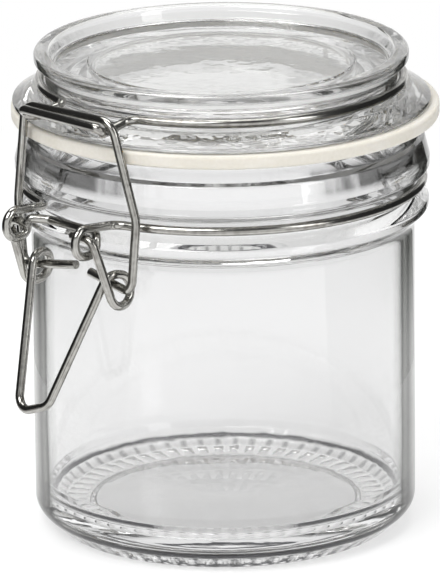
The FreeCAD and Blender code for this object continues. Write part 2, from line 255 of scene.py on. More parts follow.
@dataclass(frozen=True)
class PressedGlass:
    """Clear soda glass, faintly tinted, with painted shade: dark bands where a wall turns away, dark belts
    at the heel and at the collar, and grey dashes on the grip marks.
    """

    name: str = "pressed_glass"
    floor_level: Colour = (0.94, 0.94, 0.937)
    lid_level: Colour = (0.82, 0.822, 0.81)
    level_heights: Span = (20.0, 80.0)
    level_rise: Span = (0.45, 0.8)
    # Painted shade: colours of an upright wall by how far it turns from view, going near black towards its
    # edges.
    edge_shade_bands: tuple[tuple[float, Colour], ...] = (
        (0.0, (0.860, 0.860, 0.862)), (0.54, (0.85, 0.852, 0.85)), (0.61, (0.44, 0.45, 0.435)),
        (0.65, (0.003, 0.003, 0.0027)), (0.685, (0.05, 0.052, 0.047)), (0.75, (0.002, 0.0022, 0.0018)),
        (0.84, (0.06, 0.063, 0.056)), (0.91, (0.002, 0.0022, 0.0018)), (1.0, (0.025, 0.027, 0.023)))
    waver: float = 0.10
    # Painted shade: near-black belt round the outer heel, standing in for the floor's contact shadow seen
    # through the glass.
    heel: Colour = (0.004, 0.004, 0.005)
    heel_shade_belt: tuple[Span, Span] = ((2.7, 3.5), (4.4, 5.4))
    # Painted shade: a grey dash on each grip mark round the foot, for the light and dark that the grooves
    # make in the glass.
    grip_shade: Colour = (0.16, 0.16, 0.165)
    dash_count: int = 60
    dash_share: float = 0.9
    foot_fade: Span = (3.2, 2.4)
    foot_inner: float = 37.6
    # Painted shade: near-black belt round the outer collar under the rim where it turns from view, standing
    # in for dark surroundings seen there.
    collar: Colour = (0.004, 0.0038, 0.0032)
    collar_shade_belt: tuple[Span, Span] = ((85.4, 87.2), (90.6, 93.0))
    collar_turn: Span = (0.10, 0.26)
    collar_sway: float = 0.5
    lid_heights: Span = (100.0, 103.0)
    lid_waves: float = 2.6
    roughness: Span = (0.0, 0.035)
    ior: float = 1.50
    ripple: float = 0.10
    ripple_depth: float = 0.6

    def ramp(self, tree: Tree, facing: bpy.types.NodeSocket) -> bpy.types.NodeSocket:
        """Colour of an upright wall by how far it turns away: painted shade in dark bands towards its
        edges, standing in for dark surroundings seen in the glass.
        """
        ramp = tree.add("ShaderNodeValToRGB", {0: facing})
        stops = ramp.color_ramp.elements
        for i, (position, colour) in enumerate(self.edge_shade_bands):
            stop = stops[i] if i < 2 else stops.new(position)
            stop.position = position
            stop.color = (*colour, 1)
        return ramp.outputs[0]

    def belt(self, tree: Tree, height: bpy.types.NodeSocket,
             belt: tuple[Span, Span]) -> bpy.types.NodeSocket:
        """Mask of a level belt that fades in over its low heights and out over its high ones."""
        low, high = belt
        return tree.math("MULTIPLY", tree.remap(height, *in_metres(low), 0.0, 1.0, smooth=True),
                         tree.remap(height, *in_metres(high), 1.0, 0.0, smooth=True))

    def point(self, tree: Tree) -> GlassPoint:
        """Sockets of a point of the surface, with its normal turned outwards on both sides."""
        spot = tree.add("ShaderNodeTexCoord").outputs
        place = spot["Object"]
        x, y, height = tree.add("ShaderNodeSeparateXYZ", {0: place}).outputs
        back = tree.add("ShaderNodeNewGeometry").outputs["Backfacing"]
        normal = tree.add("ShaderNodeVectorMath", {0: spot["Normal"]}, operation="SCALE")
        tree.feed(normal.inputs["Scale"], tree.math("MULTIPLY_ADD", back, -2.0, 1.0))
        rise = tree.add("ShaderNodeSeparateXYZ", {0: normal.outputs[0]}).outputs[2]
        flat = tree.add("ShaderNodeVectorMath", {0: place, 1: (1.0, 1.0, 0.0)}, operation="MULTIPLY")
        across = flat.outputs[0]
        away = tree.add("ShaderNodeVectorMath", {0: normal.outputs[0], 1: across}, operation="DOT_PRODUCT")
        outer = tree.math("GREATER_THAN", away.outputs["Value"], 0.0)
        upright = tree.add("ShaderNodeVectorMath", {0: place, 1: (1.0, 1.0, 0.1)}, operation="MULTIPLY")
        streaks = mottled(tree, upright.outputs[0], 60.0, 300.0, 0.35)
        sway = tree.math("SUBTRACT", streaks, 0.5)
        facing = tree.add("ShaderNodeLayerWeight", {"Blend": 0.5}).outputs["Facing"]
        return GlassPoint(place, across, x, y, height, rise, outer, facing, sway)

    def grip_marks(self, tree: Tree, point: GlassPoint) -> bpy.types.NodeSocket:
        """Wave round the outer edge of the foot, above nought on each grip mark."""
        angle = tree.math("MULTIPLY", tree.math("ARCTAN2", point.y, point.x), float(self.dash_count))
        radius = tree.add("ShaderNodeVectorMath", {0: point.across}, operation="LENGTH").outputs["Value"]
        rim = tree.math("GREATER_THAN", radius, self.foot_inner * MM)
        low = tree.remap(point.height, *in_metres(self.foot_fade), 0.0, 1.0, smooth=True)
        return tree.math("MULTIPLY", tree.math("COSINE", angle), tree.math("MULTIPLY", low, rim))

    def tint_and_painted_shade(self, tree: Tree, point: GlassPoint, marks: bpy.types.NodeSocket) -> bpy.types.NodeSocket:
        """Colour of the glass: a faint tone on level faces, darker at the lid's heights, then painted shade
        on upright walls, the heel, the grip marks and the collar.
        """
        level = tree.mix(tree.remap(point.height, *in_metres(self.level_heights), 0.0, 1.0),
                         (*self.floor_level, 1), (*self.lid_level, 1))
        # Painted shade: the walls darken in uneven bands as they turn away from view.
        swayed = tree.math("MULTIPLY_ADD", point.sway, self.waver, point.facing)
        wall = self.ramp(tree, tree.math("MULTIPLY", swayed, point.outer))
        flat = tree.remap(tree.math("ABSOLUTE", point.rise), *self.level_rise, 0.0, 1.0, smooth=True)
        tint_and_painted_shade = tree.mix(flat, wall, level)
        # Painted shade at the heel: the outer wall goes near black in a belt just above the foot.
        heel = self.belt(tree, point.height, self.heel_shade_belt)
        tint_and_painted_shade = tree.mix(tree.math("MULTIPLY", heel, point.outer), tint_and_painted_shade, (*self.heel, 1))
        # Painted shade on the grip marks: a grey dash on each.
        tint_and_painted_shade = tree.mix(tree.math("MULTIPLY", marks, self.dash_share, clamp=True), tint_and_painted_shade, (*self.grip_shade, 1))
        # Painted shade at the collar: near black where the outer band under the rim turns away.
        ring = self.belt(tree, point.height, self.collar_shade_belt)
        turned = tree.remap(tree.math("MULTIPLY_ADD", point.sway, self.collar_sway, point.facing),
                            *self.collar_turn, 0.0, 0.95, smooth=True)
        return tree.mix(tree.math("MULTIPLY", tree.math("MULTIPLY", ring, turned), point.outer), tint_and_painted_shade,
                        (*self.collar, 1))

    def build(self) -> bpy.types.Material:
        """Make the material."""
        material, tree, shader = new_material(self.name)
        point = self.point(tree)
        marks = self.grip_marks(tree, point)
        tree.feed(shader.inputs["Base Color"], self.tint_and_painted_shade(tree, point, marks))
        patchy = mottled(tree, point.place, 45.0, 400.0, 0.25)
        tree.feed(shader.inputs["Roughness"], tree.remap(patchy, 0.35, 0.75, *self.roughness))
        shader.inputs["IOR"].default_value = self.ior
        shader.inputs["Transmission Weight"].default_value = 1.0
        lid = tree.remap(point.height, *in_metres(self.lid_heights), 1.0, self.lid_waves)
        waves = tree.math("MULTIPLY", mottled(tree, point.place, 70.0, 240.0, 0.15), lid)
        bumped(tree, shader, tree.math("ADD", waves, marks), self.ripple_depth * MM, self.ripple)
        return material


@dataclass(frozen=True)
class MouldedRubber:
    """Matt cream rubber with a fine moulded grain."""

    name: str = "moulded_rubber"
    light: Colour = (0.60, 0.578, 0.53)
    dark: Colour = (0.52, 0.495, 0.435)
    roughness: tuple[float, float] = (0.42, 0.62)

    def build(self) -> bpy.types.Material:
        """Make the material."""
        material, tree, shader = new_material(self.name)
        place = tree.add("ShaderNodeTexCoord").outputs["Object"]
        patchy = mottled(tree, place, 90.0, 1400.0, 0.35)
        tree.feed(shader.inputs["Base Color"], tree.mix(tree.remap(patchy, 0.35, 0.72, 0.0, 1.0),
                                                        (*self.light, 1), (*self.dark, 1)))
        tree.feed(shader.inputs["Roughness"], tree.remap(patchy, 0.3, 0.7, *self.roughness))
        shader.inputs["Subsurface Weight"].default_value = 0.25
        shader.inputs["Subsurface Radius"].default_value = (0.9, 0.8, 0.6)
        shader.inputs["Subsurface Scale"].default_value = 0.002
        bumped(tree, shader, mottled(tree, place, 300.0, 2200.0, 0.7), 0.05 * MM, 0.35)
        return material


@dataclass(frozen=True)
class DrawnSteel:
    """Bright drawn wire, with lengthwise die marks and a little tarnish."""

    name: str = "drawn_steel"
    bright: Colour = (0.47, 0.465, 0.44)
    dull: Colour = (0.20, 0.19, 0.175)
    roughness: tuple[float, float] = (0.10, 0.27)

    def build(self) -> bpy.types.Material:
        """Make the material."""
        material, tree, shader = new_material(self.name)
        place = tree.add("ShaderNodeTexCoord").outputs["Object"]
        drawn = tree.add("ShaderNodeAttribute", attribute_name="drawn").outputs["Vector"]
        marks = tree.add("ShaderNodeTexNoise", {"Vector": drawn, "Scale": 3.2, "Detail": 4.0}).outputs[0]
        patchy = mottled(tree, place, 110.0, 900.0, 0.4)
        wear = tree.math("MULTIPLY_ADD", marks, 0.5, tree.math("MULTIPLY", patchy, 0.5))
        tree.feed(shader.inputs["Base Color"], tree.mix(tree.remap(wear, 0.42, 0.66, 0.0, 1.0, smooth=True),
                                                        (*self.bright, 1), (*self.dull, 1)))
        tree.feed(shader.inputs["Roughness"], tree.remap(wear, 0.35, 0.7, *self.roughness))
        shader.inputs["Metallic"].default_value = 1.0
        bumped(tree, shader, wear, 0.03 * MM, 0.5)
        return material


# ------------------------------------------------------------------ Geometry Nodes trees


def turned_tree() -> bpy.types.NodeTree:
    """Tree that turns an outline's vertices about Z, and cuts radial grip grooves into its foot."""
    name = "turned_form"
    if name in bpy.data.node_groups:
        return bpy.data.node_groups[name]
    group = new_group(
        name, "GeometryNodeTree",
        [("Geometry", "NodeSocketGeometry", None), ("Steps", "NodeSocketInt", 240),
         ("Groove Count", "NodeSocketInt", 0), ("Groove Depth", "NodeSocketFloat", 0.0),
         ("Groove Inner", "NodeSocketFloat", 0.0), ("Groove Outer", "NodeSocketFloat", 0.0),
         ("Finish", "NodeSocketMaterial", None)],
        [("Geometry", "NodeSocketGeometry")])
    tree = Tree(group)
    ins = tree.add("NodeGroupInput").outputs
    outline = ins["Geometry"]
    count = tree.add("GeometryNodeAttributeDomainSize", {"Geometry": outline}).outputs["Point Count"]
    rows = tree.math("SUBTRACT", count, 1.0)
    columns = tree.math("ADD", ins["Steps"], 1.0)
    grid = tree.add("GeometryNodeMeshGrid", {"Size X": rows, "Size Y": ins["Steps"], "Vertices X": count,
                                             "Vertices Y": columns}).outputs["Mesh"]
    here = tree.add("ShaderNodeSeparateXYZ", {0: tree.add("GeometryNodeInputPosition").outputs[0]}).outputs
    row = tree.math("ROUND", tree.math("MULTIPLY_ADD", rows, 0.5, here[0]))
    share = tree.math("ADD", tree.math("DIVIDE", here[1], ins["Steps"]), 0.5)
    angle = tree.math("MULTIPLY", share, 2 * math.pi)
    sample = tree.add("GeometryNodeSampleIndex", {"Geometry": outline}, data_type="FLOAT_VECTOR")
    tree.feed(sample.inputs["Value"], tree.add("GeometryNodeInputPosition").outputs[0])
    tree.feed(sample.inputs["Index"], row)
    point = tree.add("ShaderNodeSeparateXYZ", {0: sample.outputs[0]}).outputs
    wave = tree.math("COSINE", tree.math("MULTIPLY", angle, ins["Groove Count"]))
    cut = tree.remap(wave, 0.0, 0.55, 0.0, 1.0, smooth=True)
    inside = tree.math("MULTIPLY", tree.math("GREATER_THAN", point[0], ins["Groove Inner"]),
                       tree.math("LESS_THAN", point[0], ins["Groove Outer"]))
    low = tree.math("MULTIPLY", inside, tree.math("LESS_THAN", point[2], 0.3 * MM))
    lift = tree.math("MULTIPLY", tree.math("MULTIPLY", cut, ins["Groove Depth"]), low)
    place = tree.add("ShaderNodeCombineXYZ", {
        0: tree.math("MULTIPLY", point[0], tree.math("COSINE", angle)),
        1: tree.math("MULTIPLY", point[0], tree.math("SINE", angle)),
        2: tree.math("ADD", point[2], lift)}).outputs[0]
    moved = tree.add("GeometryNodeSetPosition", {"Geometry": grid, "Position": place}).outputs[0]
    merged = tree.add("GeometryNodeMergeByDistance", {"Geometry": moved, "Distance": 1e-7}).outputs[0]
    finish_tree(tree, merged, ins["Finish"])
    return group


def finish_tree(tree: Tree, shape: bpy.types.NodeSocket, finish: bpy.types.NodeSocket) -> None:
    """End a tree: smooth, realised and with its material."""
    smooth = tree.add("GeometryNodeSetShadeSmooth", {"Geometry": shape}).outputs[0]
    real = tree.add("GeometryNodeRealizeInstances", {"Geometry": smooth}).outputs[0]
    dressed = tree.add("GeometryNodeSetMaterial", {"Geometry": real, "Material": finish}).outputs[0]
    out = tree.add("NodeGroupOutput")
    tree.feed(out.inputs[0], dressed)


def wire_tree() -> bpy.types.NodeTree:
    """Tree that bends a chain of stations at its corners and sweeps a round wire along it."""
    name = "bent_wire"
    if name in bpy.data.node_groups:
        return bpy.data.node_groups[name]
    group = new_group(
        name, "GeometryNodeTree",
        [("Geometry", "NodeSocketGeometry", None), ("Radius", "NodeSocketFloat", 1.0 * MM),
         ("Bend Steps", "NodeSocketInt", 10), ("Sides", "NodeSocketInt", 24),
         ("Finish", "NodeSocketMaterial", None)],
        [("Geometry", "NodeSocketGeometry")])
    tree = Tree(group)
    ins = tree.add("NodeGroupInput").outputs
    line = tree.add("GeometryNodeMeshToCurve", {"Mesh": ins["Geometry"]}).outputs[0]
    bend = tree.add("GeometryNodeInputNamedAttribute", {"Name": "bend"}, data_type="FLOAT").outputs[0]
    bent = tree.add("GeometryNodeFilletCurve", {"Curve": line, "Count": ins["Bend Steps"], "Radius": bend},
                    mode="POLY")
    bent.inputs["Limit Radius"].default_value = True
    run = tree.add("GeometryNodeSplineParameter").outputs["Length"]
    along = tree.add("GeometryNodeStoreNamedAttribute", {"Geometry": bent.outputs[0], "Name": "run",
                                                         "Value": run}, data_type="FLOAT", domain="POINT")
    circle = tree.add("GeometryNodeCurvePrimitiveCircle", {"Resolution": ins["Sides"],
                                                           "Radius": ins["Radius"]}).outputs[0]
    lap = tree.add("GeometryNodeSplineParameter").outputs["Factor"]
    hoop = tree.add("GeometryNodeStoreNamedAttribute", {"Geometry": circle, "Name": "lap", "Value": lap},
                    data_type="FLOAT", domain="POINT")
    tube = tree.add("GeometryNodeCurveToMesh", {"Curve": along.outputs[0], "Profile Curve": hoop.outputs[0],
                                                "Fill Caps": True}).outputs[0]
    lap_back = tree.add("GeometryNodeInputNamedAttribute", {"Name": "lap"}, data_type="FLOAT").outputs[0]
    run_back = tree.add("GeometryNodeInputNamedAttribute", {"Name": "run"}, data_type="FLOAT").outputs[0]
    turn = tree.math("MULTIPLY", lap_back, 2 * math.pi)
    drawn = tree.add("ShaderNodeCombineXYZ", {0: tree.math("COSINE", turn), 1: tree.math("SINE", turn),
                                              2: tree.math("MULTIPLY", run_back, 18.0)}).outputs[0]
    marked = tree.add("GeometryNodeStoreNamedAttribute", {"Geometry": tube, "Name": "drawn",
                                                          "Value": drawn},
                      data_type="FLOAT_VECTOR", domain="POINT").outputs[0]
    finish_tree(tree, marked, ins["Finish"])
    return group


def grown(name: str, seed: bpy.types.Mesh, group: bpy.types.NodeTree, **inputs: Any) -> bpy.types.Mesh:
    """Run a Geometry Nodes tree on a mesh and keep the result as a plain mesh.

    Args:
        name: the result's name.
        seed: the mesh that the tree starts from.
        group: the tree.
        inputs: values of its named inputs, with _ for spaces.

    Returns:
        The new mesh.
    """
    base = bpy.data.objects.new(name + "_seed", seed)
    bpy.context.scene.collection.objects.link(base)
    modifier = base.modifiers.new("grow", "NODES")
    modifier.node_group = group
    for item in group.interface.items_tree:
        key = item.name.replace(" ", "_")
        if item.in_out == "INPUT" and key in inputs:
            modifier[item.identifier] = inputs[key]
    shown = base.evaluated_get(bpy.context.evaluated_depsgraph_get())
    mesh = bpy.data.meshes.new_from_object(shown)
    mesh.name = name
    base.modifiers.remove(modifier)
    bpy.data.objects.remove(base)
    return mesh


def face_outwards(mesh: bpy.types.Mesh) -> None:
    """Turn a closed mesh's faces to point out of its volume."""
    work = bmesh.new()
    work.from_mesh(mesh)
    bmesh.ops.recalc_face_normals(work, faces=work.faces)
    if work.calc_volume(signed=True) < 0:
        bmesh.ops.reverse_faces(work, faces=work.faces)
    work.to_mesh(mesh)
    work.free()


def stand(name: str, mesh: bpy.types.Mesh, material: bpy.types.Material) -> bpy.types.Object:
    """Put a finished mesh in the scene as an object at the origin, with its material."""
    piece = bpy.data.objects.new(name, mesh)
    bpy.context.scene.collection.objects.link(piece)
    mesh.materials.clear()
    mesh.materials.append(material)
    return piece


def register(piece: bpy.types.Object, body: Body, slot: Slot, *nodes: str) -> None:
    """Tie a piece to its body and hide the frame nodes that it stands for, logging how near its box comes
    to theirs.

    Args:
        piece: the finished piece.
        body: the body that it rides on.
        slot: not used.
        nodes: the nodes that it replaces.
    """
    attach(piece, body.value)
    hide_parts(*nodes)
    low, high = (Vector(c) for c in (piece.bound_box[0], piece.bound_box[6]))
    for node in nodes:
        node_low, node_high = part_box(node)
        off = max(abs(a - b) for a, b in zip((*low, *high), (*node_low, *node_high)))
        LOG.info("%s on %s: %d faces, within %.2f mm of %s", piece.name, body.value,
                 len(piece.data.polygons), off / MM, node)


# ------------------------------------------------------------------ turned pieces


def rounded(section: Sequence[Corner], steps: int = 5) -> Outline:
    """Outline of a half-section in millimetres, with its corners rounded.

    Args:
        section: radius, height and corner radius of each corner, from axis to axis or closed.
        steps: chords in each rounded corner.

    Returns:
        The outline's points in metres, with extra points along its long runs.
    """
    corners = [Vector((r, z)) * MM for r, z, _ in section]
    on_axis = section[0][0] == 0
    outline: list[Vector] = []
    count = len(corners)
    for i, corner in enumerate(corners):
        radius = section[i][2] * MM
        if radius == 0 or (on_axis and i in (0, count - 1)):
            outline.append(corner)
            continue
        back = corners[i - 1] - corner
        ahead = corners[(i + 1) % count] - corner
        half_turn = (math.pi - back.angle(ahead)) / 2
        reach = min(radius * math.tan(half_turn), 0.49 * back.length, 0.49 * ahead.length)
        radius = reach / math.tan(half_turn)
        start = corner + back.normalized() * reach
        inwards = (back.normalized() + ahead.normalized()).normalized()
        centre = corner + inwards * (radius / math.cos(half_turn))
        first = start - centre
        last = corner + ahead.normalized() * reach - centre
        sweep = math.atan2(first.x * last.y - first.y * last.x, first.dot(last))
        outline += [centre + Matrix.Rotation(sweep * k / steps, 2) @ first for k in range(steps + 1)]
    if not on_axis:
        outline.append(outline[0].copy())
    return cut_runs(outline)


def cut_runs(outline: Sequence[Vector], support: float = 0.3 * MM, longest: float = 5 * MM) -> Outline:
    """Outline with a support point beside each end of its long runs, which are cut to a length."""
    points = [tuple(outline[0])]
    for start, end in zip(outline, outline[1:]):
        length = (end - start).length
        if length > 4 * support:
            parts = max(1, math.ceil(length / longest))
            marks = {support / length, 1 - support / length, *(k / parts for k in range(1, parts))}
            if start.x == 0:
                marks.discard(support / length)
            if end.x == 0:
                marks.discard(1 - support / length)
            points += [tuple(start.lerp(end, mark)) for mark in sorted(marks)]
        points.append(tuple(end))
    return points


@dataclass
class Turned:
    """A piece turned about the jar's axis from a half-section."""

    name: str
    section: list[Corner]
    steps: int
    offset: tuple[float, float] = (0.0, 0.0)
    groove_count: int = 0
    groove_depth: float = 0.0
    groove_inner: float = 0.0
    groove_outer: float = 0.0
    round_steps: int = 5

    def mesh(self, material: bpy.types.Material) -> bpy.types.Mesh:
        """Turn the section into a closed mesh.

        Args:
            material: its finish.

        Returns:
            The mesh, in place, faces outwards.
        """
        outline = rounded(self.section, self.round_steps)
        seed = bpy.data.meshes.new(self.name + "_outline")
        seed.from_pydata([(r, 0.0, z) for r, z in outline], [], [])
        mesh = grown(self.name, seed, turned_tree(), Steps=self.steps, Groove_Count=self.groove_count,
                     Groove_Depth=self.groove_depth * MM, Groove_Inner=self.groove_inner * MM,
                     Groove_Outer=self.groove_outer * MM, Finish=material)
        mesh.transform(Matrix.Translation((self.offset[0] * MM, self.offset[1] * MM, 0.0)))
        face_outwards(mesh)
        return mesh


@dataclass
class GlassJar:
    """Jar glass: heel and foot ring, straight body, bead, wire groove, band and rim."""

    section: list[Corner] = field(default_factory=lambda: [
        (0, 1.8, 0), (29.8, 1.4, 0.8), (30.8, 0, 0.5), (32.0, 0, 0), (37.2, 0, 0), (38.4, 0, 0.6),
        (43.2, 4.4, 4.0), (43.2, 71.0, 4.0), (46.4, 73.8, 0.9), (46.4, 75.4, 0.9), (43.8, 78.1, 0.8),
        (43.8, 81.5, 0.6), (46.6, 83.0, 0.9), (46.6, 85.0, 0.9), (45.4, 89.8, 0.9), (44.2, 90.6, 0.5),
        (44.2, 94.2, 0.9), (39.2, 94.2, 0.9), (39.0, 84.0, 3.0), (40.3, 74.6, 4.0), (40.3, 6.2, 6.0),
        (0, 5.4, 0)])

    def build(self, glass: bpy.types.Material) -> None:
        """Make the jar glass and put it in the jar's place."""
        form = Turned("jar_body_glass", self.section, 600, groove_count=60, groove_depth=0.45,
                      groove_inner=32.1, groove_outer=37.1)
        register(stand(form.name, form.mesh(glass), glass), Body.JAR, Slot.GLASS, "jar_glass")


@dataclass
class GlassLid:
    """Lid glass: dished knob ring, wire groove, sloping flange and tapered plug."""

    section: list[Corner] = field(default_factory=lambda: [
        (0, 107.0, 0), (29.7, 107.0, 0.2), (30.0, 106.6, 0.2), (37.5, 106.6, 0.6), (38.6, 109.7, 0.9),
        (42.0, 109.7, 0.9), (42.0, 107.5, 0.9), (39.5, 105.3, 0.9), (39.5, 101.7, 0.7), (42.5, 101.2, 2.0),
        (46.9, 98.8, 0.5), (46.9, 97.9, 0.4), (37.8, 97.9, 0.4), (34.6, 91.8, 0.72), (31.6, 91.8, 0.72),
        (29.6, 102.0, 1.6), (0, 102.0, 0)])

    def build(self, glass: bpy.types.Material) -> None:
        """Make the lid glass and put it in the lid's place."""
        form = Turned("lid_glass_disc", self.section, 300)
        register(stand(form.name, form.mesh(glass), glass), Body.LID, Slot.GLASS, "lid_glass")


@dataclass
class SealRing:
    """Flat rubber ring between the rim and the lid, seated slightly off the axis."""

    inner: float = 40.2
    outer: float = 48.0
    low: float = 94.45
    high: float = 97.65
    edge_round: float = 0.7
    shift: float = 0.55

    def build(self, rubber: bpy.types.Material) -> None:
        """Make the ring and put it in the lid's place."""
        section = [(self.inner, self.low, 0.25), (self.outer, self.low, self.edge_round),
                   (self.outer, self.high, self.edge_round), (self.inner, self.high, 0.25)]
        form = Turned("rubber_ring", section, 240, offset=(self.shift, self.shift))
        register(stand(form.name, form.mesh(rubber), rubber), Body.LID, Slot.RUBBER, "gasket")


# ------------------------------------------------------------------ wires


def at(x: float, y: float, z: float, bend: Union[float, Bend] = 0.0) -> Station:
    """Station of a wire, in millimetres, with the bend made there."""
    return Vector((x, y, z)), bend


def mirrored(stations: Sequence[Station], axes: str) -> list[Station]:
    """Stations mirrored across the jar's axis along x, y or both."""
    flip = Vector((-1 if "x" in axes else 1, -1 if "y" in axes else 1, 1))
    return [(point * flip, bend) for point, bend in stations]


@dataclass(frozen=True)
class ClosureSide:
    """Places of one side of the hand-bent closure, in millimetres, outwards from its middle."""

    coil_side: float
    coil_height: float
    pin_height: float
    pin_tip: float
    handle_height: float
    bail_side: float
    knee_height: float
    bar_height: float
    tongue_kink: float


RIGHT = ClosureSide(14.4, 66.0, 66.7, 5.3, 40.3, 18.3, 82.2, 104.2, 11.4)
LEFT = ClosureSide(11.4, 66.4, 66.9, -0.8, 36.7, 16.0, 79.8, 103.3, 8.2)


@dataclass
class WireForm:
    """Sizes that the closure's four wires share, in millimetres."""

    diameter: float = 2.0
    bend: float = 2.4
    kink: float = 2.5
    neck_ring: tuple[float, float] = (45.1, 79.8)
    lid_ring: tuple[float, float] = (40.8, 103.0)
    eyelet_side: float = 11.0
    link_side: float = 13.3
    pivot: tuple[float, float] = (53.2, 78.4)
    coil_reach: float = 46.3
    coil_pitch: float = 2.3
    coil_radius: float = 3.4
    coil_bend: float = 3.15
    pin_slope: float = 0.18
    handle: tuple[float, float] = (4.9, 59.3)
    knee: tuple[float, float] = (18.9, 45.1)
    bar: tuple[float, float] = (13.74, 47.3)
    tongue_neck: tuple[float, float, float] = (11.2, 47.6, 101.0)
    tongue_lip: tuple[float, float, float] = (14.05, 50.0, 103.1)
    stub_tip: float = 7.0
    rear_side: float = 9.0
    hinge_side: float = 6.7
    hinge_tip: float = 10.7
    hinge_corner: tuple[float, float] = (49.6, 1.4)
    hinge_bend: float = 3.5
    bridge: tuple[float, float] = (46.4, 2.0)
    bridge_inset: float = 3.6
    eyelet_root: float = 49.7
    eyelet_foot: float = 3.84
    eyelet_turn: float = 1.2
    eyelet_drop: float = 5.4
    eyelet_rise: float = 1.2
    eyelet_bend: float = 3.0
    front_reach: float = 56.1
    rear_reach: float = 55.6
    lip_bend: float = 1.8
    handle_bend: float = 3.4
    knee_bend: float = 9.0
    bar_bend: float = 4.0

    def groove_kink(self, ring: tuple[float, float], side: float) -> list[Station]:
        """Front kink at +X: its corner, level with the side, and its start on the ring."""
        radius, height = ring
        angle = math.asin(side / math.hypot(radius, self.kink)) + math.atan2(self.kink, radius)
        start = Vector((radius * math.sin(angle), -radius * math.cos(angle), height))
        corner = start + Vector((-math.cos(angle), -math.sin(angle), 0)) * self.kink
        return [(corner, Bend.KINK), (start, 0.0)]

    def ring_arc(self, start: Vector, end: Vector, steps: int = 72) -> list[Station]:
        """Stations strictly between two points of a ring, round one side of the jar."""
        radius = math.hypot(start.x, start.y)
        first, last = math.atan2(start.y, start.x), math.atan2(end.y, end.x)
        if start.x < 0:
            first, last = first % (2 * math.pi), last % (2 * math.pi)
        angles = [first + (last - first) * k / steps for k in range(1, steps)]
        return [(Vector((radius * math.cos(a), radius * math.sin(a), start.z)), 0.0) for a in angles]

    def eyelet(self, side: float, reach: float) -> list[Station]:
        """Eyelet at +X -Y: from the middle of the bridge, round the eyelet, to the groove.

        Args:
            side: its distance from the closure's middle.
            reach: how far from the jar's axis its wire runs.

        Returns:
            Its stations in order.
        """
        height = self.neck_ring[1]
        bottom, top = height - self.eyelet_drop, height + self.eyelet_rise
        bridge_reach, bridge_height = self.bridge[0], height - self.bridge[1]
        return [at(0, -bridge_reach, bridge_height),
                at(side - self.bridge_inset, -bridge_reach, bridge_height, self.bend),
                at(side, -self.eyelet_root, bottom + self.eyelet_foot, self.eyelet_turn),
                at(side, -self.eyelet_root, bottom, self.bend),
                at(side, -reach, bottom, self.eyelet_bend), at(side, -reach, top, self.eyelet_bend),
                *self.groove_kink(self.neck_ring, side)]

    def neck_wire(self) -> list[Station]:
        """Wire in the neck groove, with two eyelets in front and two behind, butted behind."""
        front = self.eyelet(self.eyelet_side, self.front_reach)
        back = mirrored(self.eyelet(self.rear_side, self.rear_reach), "y")
        left, back_left = mirrored(front, "x"), mirrored(back, "x")
        butt = Vector((0.05, 0, 0))
        back[0], back_left[0] = (back[0][0] + butt, 0.0), (back_left[0][0] - butt, 0.0)
        chain = back + self.ring_arc(back[-1][0], front[-1][0])
        chain += front[::-1] + left[1:]
        chain += self.ring_arc(left[-1][0], back_left[-1][0])
        return chain + back_left[::-1]

    def lid_wire(self) -> list[Station]:
        """Wire in the lid's groove, with the tongue in front and two hinge arms behind."""
        height = self.lid_ring[1]
        corner_reach, corner_drop = self.hinge_corner
        arm = [at(self.hinge_tip, *self.pivot), at(self.hinge_side, *self.pivot, self.bend),
               at(self.hinge_side, corner_reach, height - corner_drop, self.hinge_bend)]
        arm += mirrored(self.groove_kink(self.lid_ring, self.hinge_side), "y")
        tongue, left = self.half_tongue(RIGHT), mirrored(self.half_tongue(LEFT), "x")
        left_arm = mirrored(arm, "x")
        chain = arm + self.ring_arc(arm[-1][0], tongue[0][0])
        chain += tongue + left[::-1]
        chain += self.ring_arc(left[0][0], left_arm[-1][0])
        return chain + left_arm[::-1]

    def half_tongue(self, place: ClosureSide) -> list[Station]:
        """Half of the lid wire's tongue at +X: out of the groove, under the bar and up to the lip."""
        neck_side, neck_reach, neck_height = self.tongue_neck
        lip_side, lip_reach, lip_height = self.tongue_lip
        return self.groove_kink(self.lid_ring, place.tongue_kink)[::-1] + [
            at(neck_side, -neck_reach, neck_height, self.bend),
            at(lip_side, -lip_reach, lip_height, self.lip_bend)]

    def coil_stations(self, place: ClosureSide) -> list[Station]:
        """Corners of the lever's coil at +X, wound from the link's line to the handle's."""
        reach, height = self.coil_reach, place.coil_height
        start = (self.pivot[0] - reach, self.pivot[1] - height)
        end = (self.handle[1] - reach, place.handle_height - height)
        enter = math.atan2(start[1], start[0]) - math.acos(self.coil_radius / math.hypot(*start))
        leave = math.atan2(end[1], end[0]) + math.acos(self.coil_radius / math.hypot(*end))
        step = (enter - leave + 2 * math.pi) / COIL_CORNERS
        out = self.coil_radius / math.cos(step / 2)
        stations = []
        for i in range(COIL_CORNERS):
            angle = enter - (i + 0.5) * step
            side = place.coil_side + self.coil_pitch * (0.5 - i / (COIL_CORNERS - 1))
            stations.append(at(side, -(reach + out * math.cos(angle)), height + out * math.sin(angle),
                               self.coil_bend))
        return stations

    def half_lever(self, place: ClosureSide) -> list[Station]:
        """Half of the lever at +X: stub in the eyelet, link, coil round the pin, handle."""
        side, reach = self.handle
        return [at(self.stub_tip, -self.pivot[0], self.pivot[1]),
                at(self.link_side, -self.pivot[0], self.pivot[1], self.bend),
                *self.coil_stations(place), at(side, -reach, place.handle_height, self.handle_bend)]

